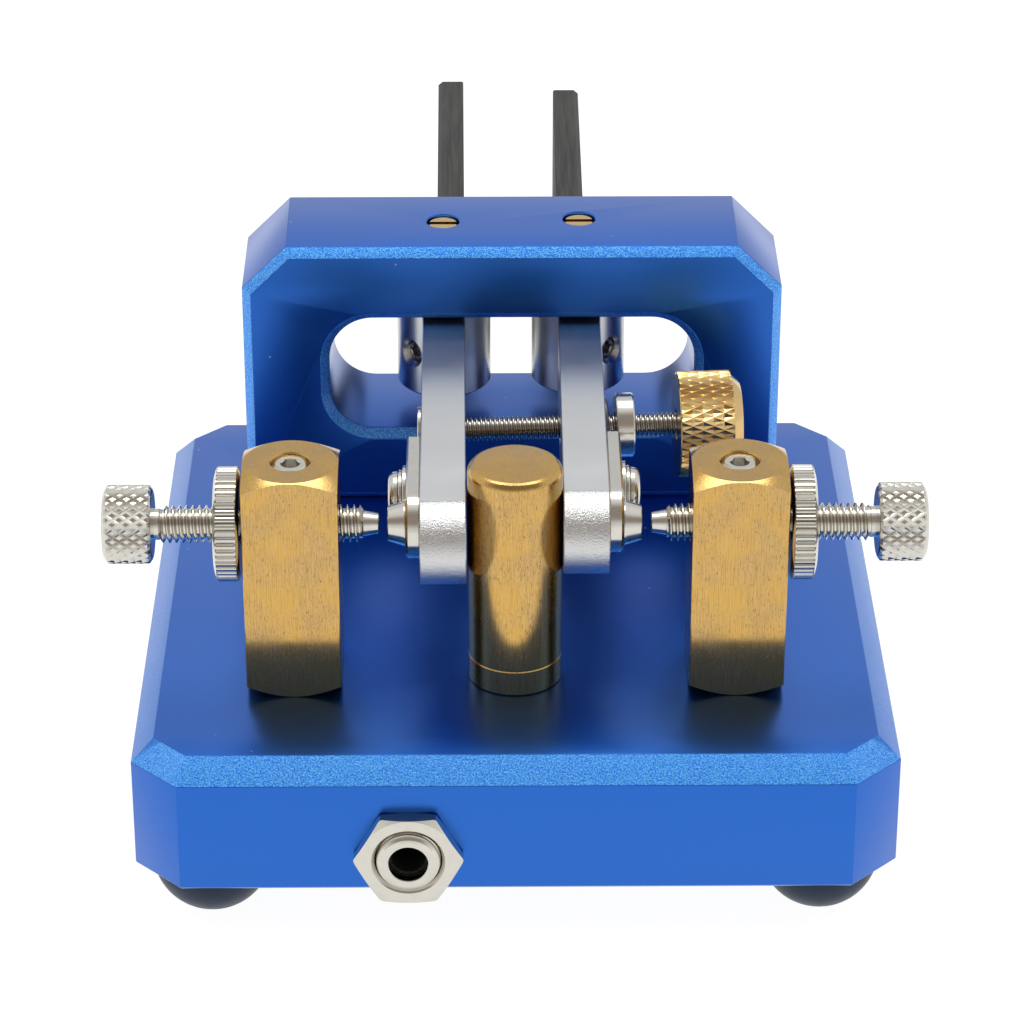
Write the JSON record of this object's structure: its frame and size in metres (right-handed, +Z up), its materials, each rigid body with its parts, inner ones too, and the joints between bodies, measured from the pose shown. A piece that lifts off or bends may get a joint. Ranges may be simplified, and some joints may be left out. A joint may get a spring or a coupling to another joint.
{
  "type": "morse key",
  "caption": "Dual-lever iambic morse key: two sprung finger paddles swing in a bridge and close adjustable contacts on a blue metal base.",
  "frame": {"origin": "middle of the whole key in plan, on the plane the four feet rest on", "axes": "+Z up, +Y towards the finger blades, -Y the side with the jack, +X to the right seen from the jack side"},
  "size_m": [0.0858, 0.1172, 0.0521],
  "materials": {
    "blue_anodised": "blue anodised over fine bead blast",
    "brass": "brushed, lightly tarnished",
    "nickel": "bright nickel plate",
    "steel": "machined stainless",
    "spring_steel": "dark spring steel",
    "silver_anodised": "satin silver anodised",
    "black_plastic": "matte",
    "rubber": "smooth moulded",
    "nylon": "moulded",
    "red_insulation": "wire insulation",
    "green_insulation": "wire insulation"
  },
  "bodies": {
    "key_base": {"base_plate": "blue_anodised", "bridge": "blue_anodised", "centre_post": "brass", "centre_post_lug": "nickel", "centre_post_bolt": "steel", "jack_bush": "nickel", "jack_nut": "nickel", "jack_housing": "black_plastic", "jack_tip_spring": "nickel", "left_wire": "red_insulation", "right_wire": "green_insulation", "ground_wire": "black_plastic", "foot_front_left": "rubber", "foot_rear_left": "rubber", "left_pivot_screw": "brass", "left_pivot_pin": "steel", "left_bridge_bolt": "steel", "left_contact_post": "brass", "left_post_set_screw": "steel", "left_post_insulator": "nylon", "left_post_lug": "nickel", "left_post_bolt": "steel", "foot_front_right": "rubber", "foot_rear_right": "rubber", "right_pivot_screw": "brass", "right_pivot_pin": "steel", "right_bridge_bolt": "steel", "right_contact_post": "brass", "right_post_set_screw": "steel", "right_post_insulator": "nylon", "right_post_lug": "nickel", "right_post_bolt": "steel"},
    "left_lever": {"left_lever": "silver_anodised", "left_finger_blade": "black_plastic", "left_blade_screw_front": "steel", "left_blade_screw_rear": "steel", "left_hub_screw": "steel", "left_contact_strip": "nickel", "left_contact_button": "nickel", "left_strip_washer": "nickel", "left_strip_screw": "nickel", "left_rod_nut": "nickel"},
    "right_lever": {"right_lever": "silver_anodised", "right_finger_blade": "black_plastic", "right_blade_screw_front": "steel", "right_blade_screw_rear": "steel", "right_hub_screw": "steel", "right_contact_strip": "nickel", "right_contact_button": "nickel", "right_strip_washer": "nickel", "right_strip_screw": "nickel", "return_spring": "spring_steel"},
    "tension_screw": {"tension_rod": "steel", "tension_knob": "brass", "tension_disc": "nickel"},
    "left_contact_screw": {"left_contact_screw": "nickel"},
    "right_contact_screw": {"right_contact_screw": "nickel"},
    "left_lock_nut": {"left_lock_nut": "nickel"},
    "right_lock_nut": {"right_lock_nut": "nickel"}
  },
  "joints": [
    {"name": "left_lever_pivot", "type": "hinge", "parent": "key_base", "child": "left_lever", "pos_m": [-0.00776, 0.00969, 0.0381], "axis": [0, 0, -1], "range_deg": [0, 1.05], "stiffness_Nm_per_rad": 0.15, "springref_deg": -3.44},
    {"name": "right_lever_pivot", "type": "hinge", "parent": "key_base", "child": "right_lever", "pos_m": [0.00767, 0.01029, 0.0381], "axis": [0, 0, 1], "range_deg": [0, 1.05], "stiffness_Nm_per_rad": 0.15, "springref_deg": -3.44, "deforming": ["return_spring"]},
    {"name": "tension_screw_turn", "type": "hinge", "parent": "left_lever", "child": "tension_screw", "pos_m": [0, -0.01464, 0.03805], "axis": [0.9988, 0.0499, 0], "continuous": true},
    {"name": "left_contact_screw_travel", "type": "slide", "parent": "key_base", "child": "left_contact_screw", "axis": [-1, 0, 0], "range_m": [0, 0.003]},
    {"name": "left_lock_nut_turn", "type": "hinge", "parent": "key_base", "child": "left_lock_nut", "pos_m": [-0.03, -0.03751, 0.0386], "axis": [1, 0, 0], "continuous": true},
    {"name": "right_contact_screw_travel", "type": "slide", "parent": "key_base", "child": "right_contact_screw", "axis": [1, 0, 0], "range_m": [0, 0.003]},
    {"name": "right_lock_nut_turn", "type": "hinge", "parent": "key_base", "child": "right_lock_nut", "pos_m": [0.03, -0.03751, 0.0386], "axis": [1, 0, 0], "continuous": true}
  ]
}
